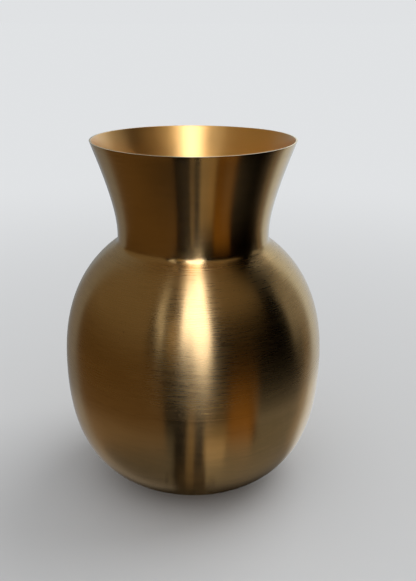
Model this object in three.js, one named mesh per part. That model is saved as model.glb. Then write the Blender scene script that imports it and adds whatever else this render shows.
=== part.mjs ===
// A brushed brass vase: a round, slightly tall body under a short trumpet neck, spun from sheet.
// Millimetres, +Z up. The origin is on the standing surface, under the centre of the base.
//
// The metal is three shells of one sheet thickness: the neck, the shoulder down to just below the
// widest level, and the bowl that closes the bottom. At each seam the lower shell has a stepped lip
// that goes in under the shell above it, and a thin bead of filler runs along the lip's free edge.

import * as THREE from 'three';

// Overall sizes
const VASE_HEIGHT = 206.7; // from the base's underside to the rim
const BODY_RADIUS = 78;
const BELLY_HEIGHT = 77.4; // widest level, above the base's underside

// Neck
const RIM_RADIUS = 61.6;
const RIM_LEAN = 17.3; // degrees that the wall leans out at the rim
const WAIST_RADIUS = 45.8;
const WAIST_DROP = 56.9; // narrowest level, below the rim
const FOOT_RADIUS = 49.8; // where the curve between neck and body ends
const FOOT_DROP = 64.7; // below the rim
const FOOT_SLOPE = 37.7; // degrees below level of the wall there

// Base
const BASE_RADIUS = 36;
const BASE_EDGE_SLOPE = 16; // degrees above level of the wall where it leaves the base
const RECESS_RADIUS = 22;
const RECESS_HEIGHT = 1.6;
const RECESS_RUN = 3; // width of the slope into the recess

// Sheet, seams and filler
const WALL = 1;
const CLEARANCE = 0.3; // between pieces that touch
const STEP_RUN = 2.5; // length in which the wall steps in to its lip
const NECK_SEAM_OFFSET = 3.7; // along the wall, outside the end of the neck's foot
const NECK_LIP_LENGTH = 3;
const BELLY_SEAM_OFFSET = 9.7; // along the wall, below the widest level
const BELLY_LIP_LENGTH = 6;
const BEAD_RADIUS = 0.8;

// Stick-on pads
const PAD_COUNT = 4;
const PAD_RADIUS = 5.5;
const PAD_HEIGHT = 1.1;

// Fullness of each curve: how far its end tangents reach, as shares of the stretch they shape
const FLARE_FULLNESS = [0.116, 0.336];
const FOOT_FULLNESS = [0.645, 0.645];
const SHOULDER_FULLNESS = [0.267, 0.544];
const BOWL_FULLNESS = [0.683, 0.602];

// Fineness of the facets
const ROUND_STEPS = 60;
const BEAD_STEPS = 6;
const PAD_STEPS = 20;
const FLARE_STEPS = 8;
const FOOT_STEPS = 5;
const SHOULDER_STEPS = 9;
const BOWL_STEPS = 10;

const BRASS = { color: 0x9a7a45, metalness: 1, roughness: 0.34 };
const BOWL_BRASS = { color: 0x94723e, metalness: 1, roughness: 0.28 };
const FILLER = { color: 0x8a6b33, metalness: 1, roughness: 0.55 };
const PAD_FOAM = { color: 0x2b2a28, metalness: 0, roughness: 0.95 };

// Levels, worked out from the sizes above
const BASE_Z = PAD_HEIGHT + CLEARANCE;
const RIM_Z = BASE_Z + VASE_HEIGHT;
const WAIST_Z = RIM_Z - WAIST_DROP;
const FOOT_Z = RIM_Z - FOOT_DROP;
const BELLY_Z = BASE_Z + BELLY_HEIGHT;

const vec = (radius, z) => new THREE.Vector2(radius, z);
const along = (point, degrees, length) => {
  const angle = THREE.MathUtils.degToRad(degrees);
  return vec(point.x + length * Math.cos(angle), point.y + length * Math.sin(angle));
};

// The outer outline from the rim to the edge of the base, as four curves that run on smoothly.
function makeOutline() {
  const rim = vec(RIM_RADIUS, RIM_Z);
  const waist = vec(WAIST_RADIUS, WAIST_Z);
  const foot = vec(FOOT_RADIUS, FOOT_Z);
  const belly = vec(BODY_RADIUS, BELLY_Z);
  const baseEdge = vec(BASE_RADIUS, BASE_Z);

  const footDrop = WAIST_Z - FOOT_Z;
  const shoulderDrop = FOOT_Z - BELLY_Z;
  const bowlRun = BODY_RADIUS - BASE_RADIUS;
  const curves = [
    [
      rim,
      along(rim, 270 - RIM_LEAN, FLARE_FULLNESS[0] * WAIST_DROP),
      along(waist, 90, FLARE_FULLNESS[1] * WAIST_DROP),
      waist,
    ],
    [
      waist,
      along(waist, -90, FOOT_FULLNESS[0] * footDrop),
      along(foot, 180 - FOOT_SLOPE, FOOT_FULLNESS[1] * footDrop),
      foot,
    ],
    [
      foot,
      along(foot, -FOOT_SLOPE, SHOULDER_FULLNESS[0] * shoulderDrop),
      along(belly, 90, SHOULDER_FULLNESS[1] * shoulderDrop),
      belly,
    ],
    [
      belly,
      along(belly, -90, BOWL_FULLNESS[0] * BELLY_HEIGHT),
      along(baseEdge, BASE_EDGE_SLOPE, BOWL_FULLNESS[1] * bowlRun),
      baseEdge,
    ],
  ];
  const path = new THREE.CurvePath();
  for (const points of curves) path.add(new THREE.CubicBezierCurve(...points));
  return path;
}

const outline = makeOutline();
const OUTLINE_LENGTH = outline.getLength();

// Distances along the outline, from the rim
const [WAIST_AT, FOOT_AT, BELLY_AT] = outline.getCurveLengths();
const NECK_SEAM_AT = FOOT_AT + NECK_SEAM_OFFSET;
const BELLY_SEAM_AT = BELLY_AT + BELLY_SEAM_OFFSET;

// Depths below the outer surface
const LIP_OUTER = WALL + CLEARANCE;
const LIP_INNER = LIP_OUTER + WALL;

// The point a given distance along the outline and a given depth into the metal.
function wallPoint(distance, depth = 0) {
  const share = distance / OUTLINE_LENGTH;
  const point = outline.getPoint(share);
  const tangent = outline.getTangent(share);
  return vec(point.x + tangent.y * depth, point.y - tangent.x * depth);
}

// Wall points from one distance to another, both ends included.
function wallRun(from, to, steps, depth = 0) {
  const points = [];
  for (let i = 0; i <= steps; i += 1) {
    points.push(wallPoint(from + ((to - from) * i) / steps, depth));
  }
  return points;
}

// A lip that reaches up past a seam, from the outer surface round to the inner one.
function lipPoints(seamAt, length) {
  const edgeAt = seamAt - length;
  return [
    ...wallRun(seamAt, edgeAt, 2, LIP_OUTER),
    ...wallRun(edgeAt, seamAt, 2, LIP_INNER),
  ];
}

function spin(profile) {
  return new THREE.LatheGeometry(profile, ROUND_STEPS).rotateX(Math.PI / 2);
}

function closedSpin(profile) {
  return spin([...profile, profile[0].clone()]);
}

// The neck's outer wall from its foot to the rim, then its inner wall back down. The rim is cut level.
function neckGeometry() {
  const edgeAt = NECK_SEAM_AT - CLEARANCE;
  const rimThickness = WALL / Math.cos(THREE.MathUtils.degToRad(RIM_LEAN));
  const outer = [
    wallPoint(edgeAt),
    ...wallRun(FOOT_AT, WAIST_AT, FOOT_STEPS),
    ...wallRun(WAIST_AT, 0, FLARE_STEPS).slice(1),
  ];
  const inner = [
    vec(RIM_RADIUS - rimThickness, RIM_Z),
    ...wallRun(0, WAIST_AT, FLARE_STEPS, WALL).slice(1),
    ...wallRun(WAIST_AT, FOOT_AT, FOOT_STEPS, WALL).slice(1),
    wallPoint(edgeAt, WALL),
  ];
  return closedSpin([...outer, ...inner]);
}

function shoulderGeometry() {
  const lowerEdgeAt = BELLY_SEAM_AT - CLEARANCE;
  return closedSpin([
    ...wallRun(lowerEdgeAt, NECK_SEAM_AT, SHOULDER_STEPS),
    ...lipPoints(NECK_SEAM_AT, NECK_LIP_LENGTH),
    ...wallRun(NECK_SEAM_AT + STEP_RUN, lowerEdgeAt, SHOULDER_STEPS, WALL),
  ]);
}

// The bowl is closed by the base, whose middle is pressed up so that it stands on a flat ring.
function bowlGeometry() {
  const recessZ = BASE_Z + RECESS_HEIGHT;
  const slopeTop = RECESS_RADIUS - RECESS_RUN;
  return spin([
    vec(0, recessZ),
    vec(slopeTop, recessZ),
    vec(RECESS_RADIUS, BASE_Z),
    ...wallRun(OUTLINE_LENGTH, BELLY_SEAM_AT, BOWL_STEPS),
    ...lipPoints(BELLY_SEAM_AT, BELLY_LIP_LENGTH),
    ...wallRun(BELLY_SEAM_AT + STEP_RUN, OUTLINE_LENGTH, BOWL_STEPS, WALL),
    vec(RECESS_RADIUS, BASE_Z + WALL),
    vec(slopeTop, recessZ + WALL),
    vec(0, recessZ + WALL),
  ]);
}

// The bead lies against the upper shell's inner wall, just past the lip's free edge.
function beadGeometry(seamAt, lipLength) {
  const centreAt = seamAt - lipLength - CLEARANCE - BEAD_RADIUS;
  const centre = wallPoint(centreAt, WALL + CLEARANCE + BEAD_RADIUS);
  const section = [];
  for (let i = 0; i < BEAD_STEPS; i += 1) {
    section.push(along(centre, (360 * i) / BEAD_STEPS, BEAD_RADIUS));
  }
  return closedSpin(section);
}

function padGeometry() {
  return new THREE.CylinderGeometry(PAD_RADIUS, PAD_RADIUS, PAD_HEIGHT, PAD_STEPS).rotateX(Math.PI / 2);
}

function piece(name, geometry, look) {
  const mesh = new THREE.Mesh(geometry, new THREE.MeshStandardMaterial(look));
  mesh.name = name;
  return mesh;
}

// The pads are spread round the middle of the flat ring that the base stands on.
function pads() {
  const group = new THREE.Group();
  const ringRadius = (BASE_RADIUS + RECESS_RADIUS) / 2;
  for (let i = 0; i < PAD_COUNT; i += 1) {
    const angle = ((i + 0.5) * 2 * Math.PI) / PAD_COUNT;
    const pad = piece(`base_pad_${i + 1}`, padGeometry(), PAD_FOAM);
    pad.position.set(ringRadius * Math.cos(angle), ringRadius * Math.sin(angle), PAD_HEIGHT / 2);
    group.add(pad);
  }
  return group;
}

const vase = new THREE.Group();
vase.add(
  piece('neck', neckGeometry(), BRASS),
  piece('shoulder_shell', shoulderGeometry(), BRASS),
  piece('lower_bowl', bowlGeometry(), BOWL_BRASS),
  piece('neck_braze_bead', beadGeometry(NECK_SEAM_AT, NECK_LIP_LENGTH), FILLER),
  piece('belly_braze_bead', beadGeometry(BELLY_SEAM_AT, BELLY_LIP_LENGTH), FILLER),
  pads(),
);

export default vase;
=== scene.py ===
"""A brushed brass vase on a pale studio floor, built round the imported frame."""

import math

import bmesh
import bpy
import numpy as np
from bpy.props import FloatProperty, FloatVectorProperty, IntProperty, PointerProperty
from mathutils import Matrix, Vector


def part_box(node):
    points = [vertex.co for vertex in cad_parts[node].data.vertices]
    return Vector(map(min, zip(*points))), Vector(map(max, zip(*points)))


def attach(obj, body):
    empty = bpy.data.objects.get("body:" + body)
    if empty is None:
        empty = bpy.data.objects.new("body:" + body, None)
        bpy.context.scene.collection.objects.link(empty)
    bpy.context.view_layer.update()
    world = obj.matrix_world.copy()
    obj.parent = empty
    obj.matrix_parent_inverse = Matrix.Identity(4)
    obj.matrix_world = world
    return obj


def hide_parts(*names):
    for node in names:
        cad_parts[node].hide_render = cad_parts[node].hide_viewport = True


bl_info = {
    "name": "Brushed Brass Vase",
    "version": (1, 0, 0),
    "blender": (4, 5, 0),
    "location": "View3D > Sidebar > Vase",
    "description": "Builds a spun, brushed brass vase and its studio",
    "category": "Add Mesh",
}

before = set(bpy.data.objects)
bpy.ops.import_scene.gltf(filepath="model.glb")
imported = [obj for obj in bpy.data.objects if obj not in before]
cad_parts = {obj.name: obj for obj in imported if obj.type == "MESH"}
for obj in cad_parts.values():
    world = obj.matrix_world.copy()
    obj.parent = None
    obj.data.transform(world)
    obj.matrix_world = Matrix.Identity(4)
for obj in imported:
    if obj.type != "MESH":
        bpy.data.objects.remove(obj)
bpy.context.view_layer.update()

MM = 0.001
WRAP_MAP = "wrap"  # u runs round the vase, v along its wall in metres
CLOSE = 0.01 * MM  # two places nearer than this count as the same


def top_of(node):
    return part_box(node)[1].z


def bottom_of(node):
    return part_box(node)[0].z


def radius_of(node):
    low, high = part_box(node)
    return (high.x - low.x) / 2


# ---------------------------------------------------------------- sizes and colours


def length(label, description, default, precision=2):
    return FloatProperty(
        name=label,
        description=description,
        default=default,
        min=0.0,
        unit="LENGTH",
        subtype="DISTANCE",
        precision=precision,
    )


def slope(label, description, degrees):
    return FloatProperty(
        name=label,
        description=description,
        default=math.radians(degrees),
        unit="ROTATION",
        subtype="ANGLE",
    )


def colour(label, description, default):
    return FloatVectorProperty(
        name=label,
        description=description,
        default=default,
        min=0.0,
        max=1.0,
        size=3,
        subtype="COLOR",
    )


class VaseShape(bpy.types.PropertyGroup):
    """Sizes of the vase's outline and of the sheet it is spun from."""

    rim_radius: length("Rim radius", "Outside of the mouth", radius_of("neck"))
    body_radius: length("Body radius", "Outside at the widest level", radius_of("shoulder_shell"))
    rim_lean: slope("Rim lean", "How far the wall leans out at the rim", 17.3)
    waist_radius: length("Waist radius", "Outside at the narrowest level of the neck", 45.8 * MM)
    waist_drop: length("Waist drop", "Narrowest level, below the rim", 56.9 * MM)
    foot_radius: length("Foot radius", "Where the curve from neck to body ends", 49.8 * MM)
    foot_drop: length("Foot drop", "The same place, below the rim", 64.7 * MM)
    foot_slope: slope("Foot slope", "Slope of the wall at that place, below level", 37.7)
    belly_height: length("Belly height", "Widest level, above the base", 77.4 * MM)
    base_radius: length("Base radius", "Edge of the flat ring the vase stands on", 36 * MM)
    base_slope: slope("Base slope", "Slope of the wall where it leaves the base", 16)
    recess_radius: length("Recess radius", "Edge of the pressed-up middle of the base", 22 * MM)
    recess_height: length("Recess height", "How far the middle is pressed up", 1.6 * MM)
    recess_run: length("Recess run", "Width of the slope into the recess", 3 * MM)
    wall: length("Wall", "Thickness of the sheet", 1 * MM)
    hairline: length("Hairline", "Width of each seam", 0.02 * MM, 4)
    edge_round: length("Edge rounding", "Rounding of the cut rim's corners", 0.22 * MM, 4)
    seam_round: length("Seam rounding", "Rounding of the edges that meet at a seam", 0.04 * MM, 4)
    neck_seam: length("Neck seam", "Along the wall, outside the end of the neck's foot", 3.7 * MM)
    neck_lip: length("Neck lip", "Length of the lip under the neck's foot", 3 * MM)
    belly_seam: length("Belly seam", "Along the wall, below the widest level", 9.7 * MM)
    belly_lip: length("Belly lip", "Length of the lip inside the shoulder", 6 * MM)
    step_run: length("Step run", "Length in which the wall steps in to a lip", 2.5 * MM)
    rim_lift: length("Rim lift", "How much higher the rim is at its sides", 0.5 * MM, 4)
    turns: IntProperty(name="Steps round", description="Facets round the vase", default=180, min=24)


class VaseLooks(bpy.types.PropertyGroup):
    """Colours of the metal, the filler and the pads."""

    brass: colour("Brass", "Brushed outside of the neck and shoulder", (0.61, 0.395, 0.165))
    deep_brass: colour("Deep brass", "Warmer patches in the brass", (0.585, 0.37, 0.145))
    inside: colour("Inside", "Satin inside of the mouth", (0.98, 0.51, 0.10))
    # Painted highlight: the rim's upward cut edge is painted paler than the brass beside it
    cut_edge_highlight: colour("Cut edge", "Edge of the rim, painted paler as a highlight", (0.80, 0.66, 0.42))
    filler: colour("Filler", "Filler along the seams, inside", (0.42, 0.30, 0.13))
    pad: colour("Pad", "Foam of the pads", (0.022, 0.021, 0.020))


class StudioSettings(bpy.types.PropertyGroup):
    """The camera's place and the floor's tone."""

    camera_distance: length("Camera distance", "From the vase's axis, level", 454.06 * MM)
    camera_rise: length("Camera rise", "Above the rim", 69.24 * MM)
    camera_pitch: slope("Camera pitch", "How far the camera looks down", 10.458)
    floor_tone: colour("Floor", "Pale floor round the vase", (0.61, 0.62, 0.63))
    wall_tone: colour("Wall", "Wall and far floor", (0.745, 0.76, 0.775))


def shape():
    return bpy.context.scene.vase_shape


def looks():
    return bpy.context.scene.vase_looks


# ---------------------------------------------------------------- the outline


def reach(point, angle, distance):
    return (point[0] + distance * math.cos(angle), point[1] + distance * math.sin(angle))


def cubic(points, steps):
    """Points of a cubic curve from its end points and handles."""
    t = np.linspace(0.0, 1.0, steps + 1)[:, None]
    a, b, c, d = (np.array(p) for p in points)
    return (1 - t) ** 3 * a + 3 * (1 - t) ** 2 * t * b + 3 * (1 - t) * t**2 * c + t**3 * d


class Outline:
    """The outer outline from the rim to the middle of the base, measured along the wall from the rim."""

    CURVE_STEPS = 400
    STRAIGHT_POINTS = 40
    NUDGE = 1e-5  # metres looked ahead and behind to find the wall's direction
    LIP_DEPTH = 1.05  # a lip's outer face lies this many walls deep
    LIP_STEPS = 4
    COMPARED_AT_ONCE = 4000  # keeps the table of gaps small

    # Lengths of the two handles of each curve, as shares of its height or, at the base, its width
    FLARE = (0.116, 0.336)
    FOOT = (0.645, 0.645)
    SHOULDER = (0.267, 0.544)
    BOWL = (0.683, 0.602)

    def __init__(self, s):
        up = math.pi / 2
        self.wall = s.wall
        self.base_z = bottom_of("lower_bowl")
        rim = (s.rim_radius, top_of("neck"))
        waist = (s.waist_radius, rim[1] - s.waist_drop)
        foot = (s.foot_radius, rim[1] - s.foot_drop)
        belly = (s.body_radius, self.base_z + s.belly_height)
        base = (s.base_radius, self.base_z)
        foot_drop = waist[1] - foot[1]
        shoulder_drop = foot[1] - belly[1]
        bowl_run = s.body_radius - s.base_radius
        curves = [
            (
                rim,
                reach(rim, -up - s.rim_lean, self.FLARE[0] * s.waist_drop),
                reach(waist, up, self.FLARE[1] * s.waist_drop),
                waist,
            ),
            (
                waist,
                reach(waist, -up, self.FOOT[0] * foot_drop),
                reach(foot, math.pi - s.foot_slope, self.FOOT[1] * foot_drop),
                foot,
            ),
            (
                foot,
                reach(foot, -s.foot_slope, self.SHOULDER[0] * shoulder_drop),
                reach(belly, up, self.SHOULDER[1] * shoulder_drop),
                belly,
            ),
            (
                belly,
                reach(belly, -up, self.BOWL[0] * s.belly_height),
                reach(base, s.base_slope, self.BOWL[1] * bowl_run),
                base,
            ),
        ]
        runs = [cubic(points, self.CURVE_STEPS) for points in curves]
        recess_z = self.base_z + s.recess_height
        corners = [
            base,
            (s.recess_radius, self.base_z),
            (s.recess_radius - s.recess_run, recess_z),
            (0.0, recess_z),
        ]
        for start, end in zip(corners, corners[1:]):
            runs.append(np.linspace(start, end, self.STRAIGHT_POINTS))
        self.points = np.concatenate([runs[0]] + [run[1:] for run in runs[1:]])
        hops = np.linalg.norm(np.diff(self.points, axis=0), axis=1)
        self.along = np.concatenate([[0.0], np.cumsum(hops)])
        ends = np.cumsum([len(runs[0]) - 1] + [len(run) - 1 for run in runs[1:]])
        at = self.along[ends]
        self.waist_at, self.foot_at, self.belly_at, self.base_at = at[:4]
        self.recess_at, self.recess_top_at, self.middle_at = at[4:]
        self.neck_seam_at = self.foot_at + s.neck_seam
        self.belly_seam_at = self.belly_at + s.belly_seam
        self.rim = rim

    def point(self, distance, depth=0.0):
        """A point on the wall, a given depth into the metal."""
        radius, z = (np.interp(distance, self.along, self.points[:, i]) for i in (0, 1))
        sides = (distance + self.NUDGE, distance - self.NUDGE)
        ahead, behind = ([np.interp(at, self.along, self.points[:, i]) for i in (0, 1)] for at in sides)
        run = np.array(ahead) - np.array(behind)
        run /= np.linalg.norm(run)
        return (radius + run[1] * depth, z - run[0] * depth)

    def run(self, start, end, steps, depth=0.0):
        return [self.point(start + (end - start) * i / steps, depth) for i in range(steps + 1)]

    def lip(self, seam_at, length_along):
        """A lip that reaches up past a seam, under the sheet above it."""
        outer = self.wall * self.LIP_DEPTH
        edge_at = seam_at - length_along
        return [
            *self.run(seam_at, edge_at, self.LIP_STEPS, outer),
            *self.run(edge_at, seam_at, self.LIP_STEPS, outer + self.wall),
        ]

    def place_of(self, radii, heights):
        """For points near the wall: distance along it from the rim, and depth into the metal."""
        found = np.empty(len(radii))
        depth = np.empty(len(radii))
        for first in range(0, len(radii), self.COMPARED_AT_ONCE):
            part = slice(first, first + self.COMPARED_AT_ONCE)
            dr = radii[part, None] - self.points[None, :, 0]
            dz = heights[part, None] - self.points[None, :, 1]
            gap = dr * dr + dz * dz
            nearest = gap.argmin(axis=1)
            found[part] = self.along[nearest]
            depth[part] = np.sqrt(gap[np.arange(len(nearest)), nearest])
        return found, depth


# ---------------------------------------------------------------- modelling helpers

MERGE_WITHIN = 0.004 * MM
BEVEL_PROFILE = 0.6
SMOOTH_BELOW = math.radians(35)
FACE_WEIGHT = 100  # large faces set the normals at their corners
INSIDE_FROM = 0.6  # faces deeper than this share of the wall belong to the inside


def start_alone():
    """Nothing selected, object mode."""
    if bpy.context.object and bpy.context.object.mode != "OBJECT":
        bpy.ops.object.mode_set(mode="OBJECT")
    bpy.ops.object.select_all(action="DESELECT")


def spin_profile(name, profile, turns):
    """Draws a profile as a chain of extruded points and spins it round the vase's axis."""
    start_alone()
    first = profile[0]
    bpy.ops.mesh.primitive_plane_add(size=MM, location=(first[0], 0.0, first[1]))
    piece = bpy.context.object
    piece.name = name
    piece.data.name = name
    bpy.ops.object.transform_apply(location=True, rotation=True, scale=True)
    bpy.ops.object.mode_set(mode="EDIT")
    bpy.ops.mesh.select_mode(type="VERT")
    bpy.ops.mesh.select_all(action="SELECT")
    bpy.ops.mesh.merge(type="CENTER")
    for here, there in zip(profile, profile[1:]):
        hop = (there[0] - here[0], 0.0, there[1] - here[1])
        bpy.ops.mesh.extrude_region_move(TRANSFORM_OT_translate={"value": hop})
    bpy.ops.mesh.select_all(action="SELECT")
    bpy.ops.mesh.spin(steps=turns, angle=2 * math.pi, center=(0, 0, 0), axis=(0, 0, 1))
    bpy.ops.mesh.select_all(action="SELECT")
    bpy.ops.mesh.remove_doubles(threshold=MERGE_WITHIN)
    bpy.ops.mesh.normals_make_consistent(inside=False)
    bpy.ops.object.mode_set(mode="OBJECT")
    return piece


def round_rings(piece, corners, width, segments=3):
    """Bevels the ring edges that run round the vase through the given corners of its section."""
    start_alone()
    piece.select_set(True)
    bpy.context.view_layer.objects.active = piece
    bpy.ops.object.mode_set(mode="EDIT")
    bpy.ops.mesh.select_mode(type="EDGE")
    bpy.ops.mesh.select_all(action="DESELECT")
    mesh = bmesh.from_edit_mesh(piece.data)

    def on_ring(vertex, corner):
        radius = math.hypot(vertex.co.x, vertex.co.y)
        return abs(radius - corner[0]) < CLOSE and abs(vertex.co.z - corner[1]) < CLOSE

    for edge in mesh.edges:
        edge.select_set(any(all(on_ring(v, corner) for v in edge.verts) for corner in corners))
    bmesh.update_edit_mesh(piece.data)
    bpy.ops.mesh.bevel(offset=width, segments=segments, affect="EDGES", profile=BEVEL_PROFILE)
    bpy.ops.object.mode_set(mode="OBJECT")


def wrap_piece(piece, outline):
    """Gives a spun piece its wrap map, and returns each face's depth below the outer surface."""
    mesh = piece.data
    count = len(mesh.vertices)
    co = np.empty(count * 3)
    mesh.vertices.foreach_get("co", co)
    co = co.reshape(-1, 3)
    along, depth = outline.place_of(np.hypot(co[:, 0], co[:, 1]), co[:, 2])
    turn = np.arctan2(co[:, 1], co[:, 0]) / (2 * math.pi)

    corner_vertex = np.empty(len(mesh.loops), dtype=np.int64)
    mesh.loops.foreach_get("vertex_index", corner_vertex)
    sizes = np.empty(len(mesh.polygons), dtype=np.int64)
    mesh.polygons.foreach_get("loop_total", sizes)
    starts = np.empty(len(mesh.polygons), dtype=np.int64)
    mesh.polygons.foreach_get("loop_start", starts)
    face_of = np.repeat(np.arange(len(sizes)), sizes)
    centre = np.empty(len(sizes) * 3)
    mesh.polygons.foreach_get("center", centre)
    centre = centre.reshape(-1, 3)
    face_turn = np.arctan2(centre[:, 1], centre[:, 0]) / (2 * math.pi)

    u = turn[corner_vertex]
    home = face_turn[face_of]
    u = u - np.round(u - home)
    on_axis = np.hypot(co[:, 0], co[:, 1])[corner_vertex] < CLOSE
    u = np.where(on_axis, home, u)
    layer = mesh.uv_layers.new(name=WRAP_MAP)
    layer.data.foreach_set("uv", np.stack([u, along[corner_vertex]], axis=1).ravel())

    order = np.argsort(face_of, kind="stable")
    return np.add.reduceat(depth[corner_vertex][order], starts) / sizes


def finish_piece(piece, slot, *nodes):
    """Smooths a piece, ties it to the frame and hides the parts it stands for."""
    start_alone()
    piece.select_set(True)
    bpy.context.view_layer.objects.active = piece
    bpy.ops.object.shade_smooth_by_angle(angle=SMOOTH_BELOW)
    bpy.ops.object.modifier_add(type="WEIGHTED_NORMAL")
    piece.modifiers[-1].keep_sharp = True
    piece.modifiers[-1].weight = FACE_WEIGHT
    bpy.ops.object.modifier_apply(modifier=piece.modifiers[-1].name)
    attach(piece, "root")
    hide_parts(*nodes)


def line_with(piece, depths, inside, wall):
    """Faces on the inner side of the sheet take the second material."""
    piece.data.materials.append(inside)
    for face, depth in zip(piece.data.polygons, depths):
        if depth > INSIDE_FROM * wall:
            face.material_index = 1


# ---------------------------------------------------------------- materials


class Nodes:
    """A short way to add and join shader nodes."""

    SPACING = 180
    USUAL_NOISE = (0.3, 0.7)  # nearly all of a noise lies between these values

    def __init__(self, material):
        material.use_nodes = True
        self.tree = material.node_tree
        self.tree.nodes.clear()
        self.column = 0

    def add(self, kind, inputs=None, **settings):
        node = self.tree.nodes.new("ShaderNode" + kind)
        node.location = (self.column, 0)
        self.column += self.SPACING
        for key, value in settings.items():
            setattr(node, key, value)
        for key, value in (inputs or {}).items():
            if isinstance(value, bpy.types.NodeSocket):
                self.tree.links.new(value, node.inputs[key])
            else:
                node.inputs[key].default_value = value
        return node

    def maths(self, operation, first, second):
        return self.add("Math", {0: first, 1: second}, operation=operation).outputs[0]

    def stretch(self, value, low, high, to_low, to_high, kind="LINEAR"):
        node = self.add(
            "MapRange",
            {"Value": value, "From Min": low, "From Max": high, "To Min": to_low, "To Max": to_high},
            interpolation_type=kind,
        )
        return node.outputs["Result"]

    def blend(self, factor, first, second, mode="MIX"):
        node = self.add("Mix", {"Factor": factor}, data_type="RGBA", blend_type=mode)
        for socket, value in ((node.inputs[6], first), (node.inputs[7], second)):
            if isinstance(value, bpy.types.NodeSocket):
                self.tree.links.new(value, socket)
            else:
                socket.default_value = (*value, 1.0)
        return node.outputs[2]

    def noise(self, vector, scale, detail, roughness):
        node = self.add(
            "TexNoise",
            {"Vector": vector, "Scale": scale, "Detail": detail, "Roughness": roughness},
        )
        return node.outputs[0]

    def spread(self, noise, to_low, to_high):
        """Takes a noise from its usual range to another."""
        return self.stretch(noise, *self.USUAL_NOISE, to_low, to_high)

    def shaded(self, tone, shade):
        """A tone, darker or lighter by a factor."""
        grey = self.add("CombineColor", {0: shade, 1: shade, 2: shade}).outputs[0]
        return self.blend(1.0, tone, grey, "MULTIPLY")

    def along_wall(self):
        """Metres along the wall from the rim."""
        wrap = self.add("UVMap", uv_map=WRAP_MAP)
        return self.add("SeparateXYZ", {0: wrap.outputs[0]}).outputs[1]


# Scales of the noises, in cycles a metre. The first two have one scale round the vase and one along it.
LINE_SCALES = (85.0, 1500.0)
STREAK_SCALES = (14.0, 240.0)
PATCH_SCALE = 24.0
SPECK_SCALE = 700.0
CLOUD_SCALE = 35.0
GRAIN_SCALE = 1800.0
CELL_SCALE = 2600.0

# How much each changes the tone, as factors, and the roughness
LINE_SHADES = (0.93, 1.07)
STREAK_SHADES = (0.97, 1.03)
SPECK_EDGES = (0.78, 0.81)
SPECK_SHADES = (1.0, 0.6)
PATCH_EDGES = (0.35, 0.65)
CLOUD_SHADES = (0.95, 1.05)
CELL_EDGES = (0.0, 0.6)
CELL_SHADES = (0.8, 1.5)
LINE_DULLING = (-0.02, 0.02)
PATCH_DULLING = (-0.012, 0.012)
CLOUD_DULLING = (-0.02, 0.03)

# The outside is finest on the bowl and the neck and coarsest on the shoulder
ROUGHNESS = (0.215, 0.28)
LINE_DEPTHS = (0.35, 1.0)
LINE_HEIGHT = 0.0000045  # metres
COARSE_FADES_ABOVE = 14 * MM
COARSE_FADES_BELOW = 6 * MM
BRUSHING = 0.92
QUARTER_TURN = 0.25  # the brushing runs round the vase

COAT_ROUGHNESS = 0.3
COAT_IOR = 1.8
INSIDE_ROUGHNESS = 0.34
RIM_ROUGHNESS = 0.35
FILLER_ROUGHNESS = 0.5
FILLER_GRAIN = 0.00005
CELL_DEPTH = 0.00006
CELL_STRENGTH = 0.5
FOAM_ROUGHNESS = 0.9


def around_coordinates(nodes, round_scale, along_scale):
    """Coordinates that change slowly round the vase and quickly along its wall, with no join."""
    place = nodes.add("TexCoord").outputs["Object"]
    split = nodes.add("SeparateXYZ", {0: place})
    along = nodes.along_wall()
    x = nodes.maths("MULTIPLY", split.outputs[0], round_scale)
    y = nodes.maths("MULTIPLY", split.outputs[1], round_scale)
    v = nodes.maths("MULTIPLY", along, along_scale)
    return nodes.add("CombineXYZ", {0: x, 1: y, 2: v}).outputs[0]


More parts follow.
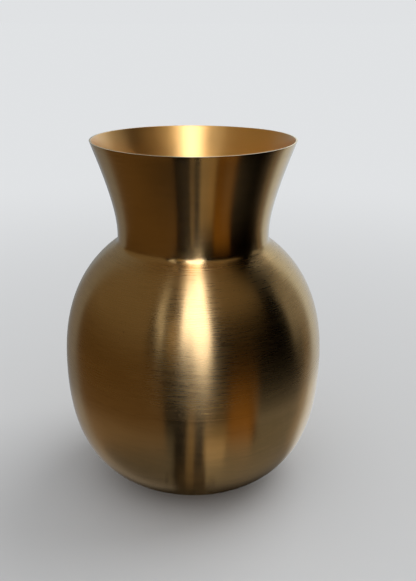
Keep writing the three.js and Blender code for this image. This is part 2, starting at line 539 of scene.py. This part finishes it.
def brushed_brass():
    """Brass brushed round the axis, roughest on the shoulder, with faint patches and dark specks."""
    tones = looks()
    material = bpy.data.materials.new("brushed brass")
    nodes = Nodes(material)
    place = nodes.add("TexCoord").outputs["Object"]
    along = nodes.along_wall()

    lines = nodes.noise(around_coordinates(nodes, *LINE_SCALES), 1.0, detail=3.0, roughness=0.6)
    streaks = nodes.noise(around_coordinates(nodes, *STREAK_SCALES), 1.0, detail=3.0, roughness=0.55)
    patches = nodes.noise(place, PATCH_SCALE, detail=3.0, roughness=0.55)
    specks = nodes.noise(place, SPECK_SCALE, detail=1.0, roughness=0.5)

    outline = Outline(shape())
    neck_end = nodes.stretch(along, outline.waist_at, outline.neck_seam_at, 0.0, 1.0, "SMOOTHSTEP")
    bowl_start = nodes.stretch(
        along,
        outline.belly_seam_at - COARSE_FADES_ABOVE,
        outline.belly_seam_at + COARSE_FADES_BELOW,
        1.0,
        0.0,
        "SMOOTHSTEP",
    )
    coarse = nodes.maths("MULTIPLY", neck_end, bowl_start)

    patchy = nodes.stretch(patches, *PATCH_EDGES, 0.0, 1.0)
    base = nodes.blend(patchy, tones.brass, tones.deep_brass)
    shade = nodes.spread(lines, *LINE_SHADES)
    shade = nodes.maths("MULTIPLY", shade, nodes.spread(streaks, *STREAK_SHADES))
    shade = nodes.maths("MULTIPLY", shade, nodes.stretch(specks, *SPECK_EDGES, *SPECK_SHADES))
    base = nodes.shaded(base, shade)

    dull = nodes.stretch(coarse, 0.0, 1.0, *ROUGHNESS)
    dull = nodes.maths("ADD", dull, nodes.spread(lines, *LINE_DULLING))
    dull = nodes.maths("ADD", dull, nodes.spread(patches, *PATCH_DULLING))

    depth = nodes.stretch(coarse, 0.0, 1.0, *LINE_DEPTHS)
    height = nodes.maths("MULTIPLY", lines, depth)
    bump = nodes.add("Bump", {"Strength": 1.0, "Distance": LINE_HEIGHT, "Height": height})
    tangent = nodes.add("Tangent", direction_type="UV_MAP", uv_map=WRAP_MAP)
    shader = nodes.add(
        "BsdfPrincipled",
        {
            "Base Color": base,
            "Metallic": 1.0,
            "Roughness": dull,
            "Anisotropic": BRUSHING,
            "Anisotropic Rotation": QUARTER_TURN,
            "Normal": bump.outputs[0],
            "Tangent": tangent.outputs[0],
        },
    )
    nodes.add("OutputMaterial", {"Surface": shader.outputs[0]})
    return material


def satin_brass(name, tone, roughness, grain=0.000004, lacquer=0.0):
    """Smooth satin brass with a soft, even grain, lacquered or bare."""
    material = bpy.data.materials.new(name)
    nodes = Nodes(material)
    place = nodes.add("TexCoord").outputs["Object"]
    cloud = nodes.noise(place, CLOUD_SCALE, detail=3.0, roughness=0.5)
    fine = nodes.noise(place, GRAIN_SCALE, detail=2.0, roughness=0.5)
    base = nodes.shaded(tone, nodes.spread(cloud, *CLOUD_SHADES))
    dull = nodes.spread(cloud, roughness + CLOUD_DULLING[0], roughness + CLOUD_DULLING[1])
    bump = nodes.add("Bump", {"Strength": 1.0, "Distance": grain, "Height": fine})
    shader = nodes.add(
        "BsdfPrincipled",
        {
            "Base Color": base,
            "Metallic": 1.0,
            "Roughness": dull,
            "Normal": bump.outputs[0],
            "Coat Weight": lacquer,
            "Coat Roughness": COAT_ROUGHNESS,
            "Coat IOR": COAT_IOR,
        },
    )
    nodes.add("OutputMaterial", {"Surface": shader.outputs[0]})
    return material


def foam(name, tone):
    """Dark closed-cell foam."""
    material = bpy.data.materials.new(name)
    nodes = Nodes(material)
    place = nodes.add("TexCoord").outputs["Object"]
    cells = nodes.add("TexVoronoi", {"Vector": place, "Scale": CELL_SCALE}).outputs[0]
    base = nodes.shaded(tone, nodes.stretch(cells, *CELL_EDGES, *CELL_SHADES))
    bump = nodes.add("Bump", {"Strength": CELL_STRENGTH, "Distance": CELL_DEPTH, "Height": cells})
    shader = nodes.add(
        "BsdfPrincipled",
        {"Base Color": base, "Roughness": FOAM_ROUGHNESS, "Normal": bump.outputs[0]},
    )
    nodes.add("OutputMaterial", {"Surface": shader.outputs[0]})
    return material


# ---------------------------------------------------------------- pieces


def outer_brass():
    return bpy.data.materials.get("brushed brass") or brushed_brass()


def inner_brass():
    found = bpy.data.materials.get("satin inside")
    return found or satin_brass("satin inside", looks().inside, INSIDE_ROUGHNESS, lacquer=1.0)


class VASE_OT_neck(bpy.types.Operator):
    """Spins the flared neck with its cut rim and the curve that turns out to the body"""

    bl_idname = "vase.neck"
    bl_label = "Neck"

    FLARE_STEPS = 34
    FOOT_STEPS = 14
    RIM_BAND = 0.5 * MM
    FACES_UP = 0.5
    LIFT_FADES_OVER = 30 * MM
    DENT_BEARING = 1.15  # radians from +X
    DENT_SHARPNESS = 12
    DENT_DEPTH = 0.6

    def execute(self, context):
        s = shape()
        outline = Outline(s)
        edge_at = outline.neck_seam_at - s.hairline
        rim_inner = (s.rim_radius - s.wall / math.cos(s.rim_lean), outline.rim[1])
        outer = [
            outline.point(edge_at),
            *outline.run(outline.foot_at, outline.waist_at, self.FOOT_STEPS),
            *outline.run(outline.waist_at, 0.0, self.FLARE_STEPS)[1:],
        ]
        inner = [
            rim_inner,
            *outline.run(0.0, outline.waist_at, self.FLARE_STEPS, s.wall)[1:],
            *outline.run(outline.waist_at, outline.foot_at, self.FOOT_STEPS, s.wall)[1:],
            outline.point(edge_at, s.wall),
        ]
        piece = spin_profile("vase_neck", [*outer, *inner, outer[0]], s.turns)
        round_rings(piece, [outline.rim, rim_inner], s.edge_round)
        round_rings(piece, [outer[0]], s.seam_round, 2)
        depths = wrap_piece(piece, outline)
        piece.data.materials.append(outer_brass())
        line_with(piece, depths, inner_brass(), s.wall)
        self.paint_rim_highlight(piece, outline)
        self.lift_rim(piece, outline)
        finish_piece(piece, "brushed_brass", "neck")
        return {"FINISHED"}

    def paint_rim_highlight(self, piece, outline):
        """The level cut edge of the rim is painted paler than the brass: a painted highlight along the
        rim.
        """
        piece.data.materials.append(satin_brass("cut rim", looks().cut_edge_highlight, RIM_ROUGHNESS))
        for face in piece.data.polygons:
            if face.normal.z > self.FACES_UP and face.center.z > outline.rim[1] - self.RIM_BAND:
                face.material_index = 2

    def lift_rim(self, piece, outline):
        """The rim isn't quite level: its sides stand a little high, and it dips at one place behind."""
        for vertex in piece.data.vertices:
            below = outline.rim[1] - vertex.co.z
            if below < self.LIFT_FADES_OVER:
                share = 0.5 + 0.5 * math.cos(math.pi * below / self.LIFT_FADES_OVER)
                turn = math.atan2(vertex.co.y, vertex.co.x)
                dent = max(0.0, math.cos(turn - self.DENT_BEARING)) ** self.DENT_SHARPNESS
                wave = math.cos(2 * turn) - self.DENT_DEPTH * dent
                vertex.co.z += 0.5 * shape().rim_lift * share * wave


class VASE_OT_shoulder(bpy.types.Operator):
    """Spins the shoulder, from the neck's seam to just below the widest level, with its lip"""

    bl_idname = "vase.shoulder"
    bl_label = "Shoulder"

    OUTER_STEPS = 46
    INNER_STEPS = 30

    def execute(self, context):
        s = shape()
        outline = Outline(s)
        top_at, end_at = outline.neck_seam_at, outline.belly_seam_at - s.hairline
        profile = [
            *outline.run(end_at, top_at, self.OUTER_STEPS),
            *outline.lip(top_at, s.neck_lip),
            *outline.run(top_at + s.step_run, end_at, self.INNER_STEPS, s.wall),
        ]
        piece = spin_profile("vase_shoulder", [*profile, profile[0]], s.turns)
        round_rings(piece, [outline.point(top_at), outline.point(end_at)], s.seam_round, 2)
        depths = wrap_piece(piece, outline)
        piece.data.materials.append(outer_brass())
        line_with(piece, depths, inner_brass(), s.wall)
        finish_piece(piece, "brushed_brass", "shoulder_shell")
        return {"FINISHED"}


class VASE_OT_bowl(bpy.types.Operator):
    """Spins the bowl that closes the vase, with its lip and the pressed-up middle of its base"""

    bl_idname = "vase.bowl"
    bl_label = "Bowl"

    RECESS_STEPS = 6
    RING_STEPS = 3
    OUTER_STEPS = 56
    INNER_STEPS = 40
    RECESS_ROUND = 0.8 * MM

    def execute(self, context):
        s = shape()
        outline = Outline(s)
        top_at = outline.belly_seam_at
        profile = [
            *outline.run(outline.middle_at, outline.recess_top_at, self.RECESS_STEPS),
            *outline.run(outline.recess_at, outline.base_at, self.RING_STEPS),
            *outline.run(outline.base_at, top_at, self.OUTER_STEPS)[1:],
            *outline.lip(top_at, s.belly_lip),
            *outline.run(top_at + s.step_run, outline.base_at, self.INNER_STEPS, s.wall),
        ]
        recess_z = outline.base_z + s.recess_height + s.wall
        profile += [
            (s.recess_radius, outline.base_z + s.wall),
            (s.recess_radius - s.recess_run, recess_z),
            (0.0, recess_z),
        ]
        piece = spin_profile("vase_bowl", profile, s.turns)
        round_rings(piece, [outline.point(top_at)], s.seam_round, 2)
        corners = [outline.point(outline.recess_at), outline.point(outline.recess_top_at)]
        round_rings(piece, corners, self.RECESS_ROUND, 4)
        depths = wrap_piece(piece, outline)
        piece.data.materials.append(outer_brass())
        line_with(piece, depths, inner_brass(), s.wall)
        finish_piece(piece, "satin_brass", "lower_bowl")
        return {"FINISHED"}


class VASE_OT_beads(bpy.types.Operator):
    """Lays the bead of filler along the free edge of each lip, inside the vase"""

    bl_idname = "vase.beads"
    bl_label = "Beads of filler"

    STEPS_ROUND = 150
    STEPS_ACROSS = 12
    MEAN_SWELL = 0.9
    SWELL = 0.05
    SWELLS_ROUND = (17, 29)
    SWELL_OFFSET = 1.3

    def execute(self, context):
        metal = satin_brass("filler", looks().filler, FILLER_ROUGHNESS, FILLER_GRAIN)
        for node, name in (("neck_braze_bead", "neck_bead"), ("belly_braze_bead", "belly_bead")):
            low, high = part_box(node)
            thick = (high.z - low.z) / 2
            start_alone()
            bpy.ops.mesh.primitive_torus_add(
                location=(0, 0, (low.z + high.z) / 2),
                major_radius=(high.x - low.x) / 2 - thick,
                minor_radius=thick,
                major_segments=self.STEPS_ROUND,
                minor_segments=self.STEPS_ACROSS,
            )
            piece = bpy.context.object
            piece.name = name
            bpy.ops.object.transform_apply(location=True, rotation=True, scale=True)
            self.make_uneven(piece)
            piece.data.materials.append(metal)
            finish_piece(piece, "brass_filler", node)
        return {"FINISHED"}

    def make_uneven(self, piece):
        """A hand-fed bead swells and thins a little as it goes round."""
        middle = sum((v.co.z for v in piece.data.vertices)) / len(piece.data.vertices)
        slow, quick = self.SWELLS_ROUND
        for vertex in piece.data.vertices:
            turn = math.atan2(vertex.co.y, vertex.co.x)
            swell = self.MEAN_SWELL + self.SWELL * math.sin(slow * turn)
            swell += self.SWELL * math.sin(quick * turn + self.SWELL_OFFSET)
            vertex.co.z = middle + (vertex.co.z - middle) * swell


class VASE_OT_pads(bpy.types.Operator):
    """Cuts the foam pads and sets them under the base"""

    bl_idname = "vase.pads"
    bl_label = "Pads"

    COUNT = 4
    STEPS_ROUND = 48
    EDGE_ROUND = 0.18 * MM

    def execute(self, context):
        material = foam("pad foam", looks().pad)
        for index in range(1, self.COUNT + 1):
            node = f"base_pad_{index}"
            low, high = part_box(node)
            start_alone()
            bpy.ops.mesh.primitive_cylinder_add(
                vertices=self.STEPS_ROUND,
                radius=(high.x - low.x) / 2,
                depth=high.z - low.z,
                location=(low + high) / 2,
            )
            piece = bpy.context.object
            piece.name = f"pad_{index}"
            bpy.ops.object.transform_apply(location=True, rotation=True, scale=True)
            bpy.ops.object.mode_set(mode="EDIT")
            bpy.ops.mesh.select_all(action="SELECT")
            bpy.ops.mesh.bevel(offset=self.EDGE_ROUND, segments=3, affect="EDGES")
            bpy.ops.object.mode_set(mode="OBJECT")
            piece.data.materials.append(material)
            finish_piece(piece, "pad_foam", node)
        return {"FINISHED"}


# ---------------------------------------------------------------- studio

FLOOR_RADIUS = 60.0
FLOOR_STEPS_ROUND = 96
SHADE_FADES = (0.16, 0.9)  # metres from the axis between which the floor turns from shaded to pale
SUN_FROM = (1.3, 1.0, 1.9)
SUN_SPREAD = math.radians(50)
SUN_STRENGTH = 1.1
AIR_STRENGTH = 0.74
SENSOR_WIDTH = 36.0
LENS = 47.835
SHIFT_ACROSS = 0.0255
SHIFT_UP = -0.22
NEAREST_SEEN = 0.01

CARD_DISTANCE = 1.6
CARD_CENTRE = 0.1
CARD_STEP = 5.0
CARD_LEAST_STEPS = 3
MAT_HEIGHT = 0.0005
MAT_STEPS_OUT = 4
MAT_SOFT_SHARE = 0.25
DAYLIGHT = (0.74, 0.8, 1.0)
WHITE = (0.95, 0.97, 1.0)
SHADE = (0.75, 0.87, 1.0)
CREAM = (1.0, 0.8, 0.52)
LAMPLIGHT = (1.0, 0.62, 0.24)
AMBER = (1.0, 0.5, 0.08)

# The cards hang on a sphere round the vase. Each row gives a card's name, the bearings of its left
# and right edges (degrees, from the camera's side towards the right), its lowest and highest
# elevation (degrees), its strength, its colour and the width of its soft edge (degrees).
CARDS = (
    ("window", -11, 16, 15, 72, 4.6, DAYLIGHT, 2),
    ("window head", 8, 24, 60, 78, 5.0, DAYLIGHT, 6),
    ("window foot", 0, 15, 4, 15, 3.4, DAYLIGHT, 2),
    ("window sill", 4, 12, -5, 5, 2.4, DAYLIGHT, 2),
    ("window reveal", -23, -12, 10, 30, 0.6, CREAM, 3),
    ("curtain", -26, -13, 60, 76, 1.0, CREAM, 5),
    ("lamp tube", -37, -33, 28, 60, 1.5, WHITE, 2),
    ("lamp foot", -31, -27, 14, 30, 1.6, WHITE, 3),
    ("left room", -120, -40, 5, 75, 0.19, CREAM, 8),
    ("left furniture", -120, -31, -15, 5, 0.09, LAMPLIGHT, 6),
    ("left table", -120, -25, -47, -15, 0.12, LAMPLIGHT, 4),
    ("left corner", -150, -120, -80, 75, 0.24, WHITE, 8),
    ("left rear wall", -180, -150, -45, 60, 0.4, SHADE, 8),
    ("right ceiling", 18, 80, 32, 75, 0.22, CREAM, 8),
    ("right panel", 95, 125, -6, 30, 0.28, WHITE, 6),
    ("right rear wall", 125, 180, -42, 30, 0.85, SHADE, 10),
    ("right rear lamp", 140, 180, 30, 75, 2.2, WHITE, 8),
    ("right shelf", 110, 125, -45, -5, 0.16, CREAM, 6),
    ("right table", 10, 32, -54, -38, 0.42, CREAM, 3),
    ("wooden box", 31, 57, -46, -20, 0.21, AMBER, 5),
    ("table edge", -4, 2, -50, -22, 0.16, CREAM, 3),
    ("near floor", -26, 30, -80, -60, 0.05, CREAM, 6),
)

# The mats lie on the floor near the vase. Each row gives a mat's name, the bearings of its left and
# right ends (degrees), its inner and outer radius (metres), its strength, its colour and the width of
# its soft ends (degrees). Its inner and outer edges are soft over MAT_SOFT_SHARE of its breadth.
MATS = (
    ("left mat", -155, -10, 0.05, 0.165, 0.11, WHITE, 5),
    ("middle strip", -6, 1, 0.05, 0.19, 0.11, CREAM, 2),
    ("right mat", 6, 212, 0.05, 0.145, 0.2, WHITE, 3),
    ("far right mat", 40, 212, 0.12, 0.2, 0.22, WHITE, 8),
    ("amber mat", 17, 44, 0.12, 0.25, 0.08, AMBER, 8),
    ("front mat", -18, 14, 0.045, 0.085, 0.03, CREAM, 8),
)


def glowing(name, strength, tint, soft_across, soft_up):
    """A clear glow that fades out over the given shares of the card's width and height."""
    material = bpy.data.materials.new(name)
    nodes = Nodes(material)
    split = nodes.add("SeparateXYZ", {0: nodes.add("TexCoord").outputs["UV"]})
    fade = strength
    for axis, soft in ((0, soft_across), (1, soft_up)):
        near = split.outputs[axis]
        far = nodes.maths("SUBTRACT", 1.0, near)
        for edge in (near, far):
            rise = nodes.stretch(edge, 0.0, soft, 0.0, 1.0, "SMOOTHSTEP")
            fade = nodes.maths("MULTIPLY", fade, rise)
    glow = nodes.add("Emission", {"Color": (*tint, 1.0), "Strength": fade})
    clear = nodes.add("BsdfTransparent")
    both = nodes.add("AddShader", {0: glow.outputs[0], 1: clear.outputs[0]})
    nodes.add("OutputMaterial", {"Surface": both.outputs[0]})
    return material


def add_card(name, across, up, strength, tint, soft_across, soft_up, place):
    """A glowing card that only reflections show; place gives each point from its share of both sides."""
    start_alone()
    bpy.ops.mesh.primitive_grid_add(x_subdivisions=across, y_subdivisions=up, size=2.0)
    card = bpy.context.object
    card.name = name
    for vertex in card.data.vertices:
        vertex.co = place((vertex.co.x + 1) / 2, (vertex.co.y + 1) / 2)
    card.visible_camera = False
    card.visible_diffuse = False
    card.visible_shadow = False
    card.data.materials.append(glowing(name, strength, tint, soft_across, soft_up))


def hang_card(name, left, right, low, high, strength, tint, soft):
    """Hangs a card on the sphere round the vase."""
    left, low = left - soft / 2, low - soft / 2
    wide = right + soft / 2 - left
    tall = high + soft / 2 - low

    def place(across, up):
        bearing = math.radians(left + wide * across)
        elevation = math.radians(low + tall * up)
        level = CARD_DISTANCE * math.cos(elevation)
        height = CARD_CENTRE + CARD_DISTANCE * math.sin(elevation)
        return (level * math.sin(bearing), -level * math.cos(bearing), height)

    steps = (max(CARD_LEAST_STEPS, round(side / CARD_STEP)) for side in (wide, tall))
    add_card(name, *steps, strength, tint, soft / wide, soft / tall, place)


def lay_mat(name, left, right, inner, outer, strength, tint, soft):
    """Lays a ring-shaped mat on the floor round the vase."""
    wide = right - left

    def place(across, out):
        bearing = math.radians(left + wide * across)
        radius = inner + (outer - inner) * out
        return (radius * math.sin(bearing), -radius * math.cos(bearing), MAT_HEIGHT)

    steps = (round(wide / CARD_STEP), MAT_STEPS_OUT)
    add_card(name, *steps, strength, tint, soft / wide, MAT_SOFT_SHARE, place)


class VASE_OT_studio(bpy.types.Operator):
    """Lays the floor, hangs the cards, sets the lights and sets the camera"""

    bl_idname = "vase.studio"
    bl_label = "Studio"

    def execute(self, context):
        self.lay_floor()
        self.hang_sun()
        for card in CARDS:
            hang_card(*card)
        for mat in MATS:
            lay_mat(*mat)
        self.set_world()
        self.set_camera()
        context.scene.view_settings.view_transform = "Standard"
        return {"FINISHED"}

    @staticmethod
    def lay_floor():
        """A wide floor, a shade darker round the vase, clear from below and absent from reflections."""
        settings = bpy.context.scene.studio_settings
        start_alone()
        bpy.ops.mesh.primitive_circle_add(
            vertices=FLOOR_STEPS_ROUND, radius=FLOOR_RADIUS, fill_type="NGON"
        )
        floor = bpy.context.object
        floor.name = "floor"
        material = bpy.data.materials.new("pale floor")
        nodes = Nodes(material)
        place = nodes.add("TexCoord").outputs["Object"]
        out = nodes.add("VectorMath", {0: place}, operation="LENGTH").outputs["Value"]
        far = nodes.stretch(out, *SHADE_FADES, 0.0, 1.0, "SMOOTHSTEP")
        tone = nodes.blend(far, settings.floor_tone, settings.wall_tone)
        shader = nodes.add("BsdfDiffuse", {"Color": tone})
        below = nodes.add("NewGeometry").outputs["Backfacing"]
        clear = nodes.add("BsdfTransparent")
        one_sided = nodes.add("MixShader", {0: below, 1: shader.outputs[0], 2: clear.outputs[0]})
        nodes.add("OutputMaterial", {"Surface": one_sided.outputs[0]})
        floor.data.materials.append(material)
        floor.visible_glossy = False
        floor.visible_shadow = False

    @staticmethod
    def hang_sun():
        """A broad soft sun from behind and to the right, which reflections don't show."""
        start_alone()
        bpy.ops.object.light_add(type="SUN", location=SUN_FROM)
        sun = bpy.context.object
        sun.name = "softbox"
        sun.data.angle = SUN_SPREAD
        sun.data.energy = SUN_STRENGTH
        sun.rotation_euler = sun.location.to_track_quat("Z", "Y").to_euler()
        sun.visible_glossy = False

    @staticmethod
    def set_world():
        """Even white light that reflections don't show, and a pale wall for the camera."""
        wall_tone = bpy.context.scene.studio_settings.wall_tone
        world = bpy.data.worlds.new("studio air")
        world.use_nodes = True
        tree = world.node_tree
        tree.nodes.clear()
        seen = tree.nodes.new("ShaderNodeBackground")
        seen.inputs[0].default_value = (*wall_tone, 1.0)
        lit = tree.nodes.new("ShaderNodeBackground")
        lit.inputs[0].default_value = (1.0, 1.0, 1.0, 1.0)
        lit.inputs[1].default_value = AIR_STRENGTH
        path = tree.nodes.new("ShaderNodeLightPath")
        mix = tree.nodes.new("ShaderNodeMixShader")
        out = tree.nodes.new("ShaderNodeOutputWorld")
        tree.links.new(path.outputs["Is Camera Ray"], mix.inputs[0])
        tree.links.new(lit.outputs[0], mix.inputs[1])
        tree.links.new(seen.outputs[0], mix.inputs[2])
        tree.links.new(mix.outputs[0], out.inputs[0])
        world.cycles_visibility.glossy = False
        bpy.context.scene.world = world

    @staticmethod
    def set_camera():
        """A camera in front of the vase that looks down at it, shifted to frame it."""
        settings = bpy.context.scene.studio_settings
        lens = bpy.data.cameras.new("camera")
        lens.sensor_width = SENSOR_WIDTH
        lens.lens = LENS
        lens.shift_x = SHIFT_ACROSS
        lens.shift_y = SHIFT_UP
        camera = bpy.data.objects.new("camera", lens)
        height = top_of("neck") + settings.camera_rise
        camera.location = (0.0, -settings.camera_distance, height)
        camera.rotation_euler = (math.pi / 2 - settings.camera_pitch, 0.0, 0.0)
        lens.clip_start = NEAREST_SEEN
        bpy.context.scene.collection.objects.link(camera)
        bpy.context.scene.camera = camera


class VIEW3D_PT_vase(bpy.types.Panel):
    """Lists the vase's pieces, sizes and colours in the sidebar"""

    bl_label = "Brass Vase"
    bl_space_type = "VIEW_3D"
    bl_region_type = "UI"
    bl_category = "Vase"

    def draw(self, context):
        layout = self.layout
        for operator in OPERATORS:
            layout.operator(operator.bl_idname)
        for group in (context.scene.vase_shape, context.scene.vase_looks, context.scene.studio_settings):
            box = layout.box()
            for name in group.__annotations__:
                box.prop(group, name)


OPERATORS = (VASE_OT_neck, VASE_OT_shoulder, VASE_OT_bowl, VASE_OT_beads, VASE_OT_pads, VASE_OT_studio)
CLASSES = (VaseShape, VaseLooks, StudioSettings, *OPERATORS, VIEW3D_PT_vase)


def register():
    for cls in CLASSES:
        bpy.utils.register_class(cls)
    bpy.types.Scene.vase_shape = PointerProperty(type=VaseShape)
    bpy.types.Scene.vase_looks = PointerProperty(type=VaseLooks)
    bpy.types.Scene.studio_settings = PointerProperty(type=StudioSettings)


def unregister():
    for name in ("vase_shape", "vase_looks", "studio_settings"):
        delattr(bpy.types.Scene, name)
    for cls in reversed(CLASSES):
        bpy.utils.unregister_class(cls)


def main():
    register()
    bpy.ops.vase.neck()
    bpy.ops.vase.shoulder()
    bpy.ops.vase.bowl()
    bpy.ops.vase.beads()
    bpy.ops.vase.pads()
    bpy.ops.vase.studio()


if __name__ == "__main__":
    main()
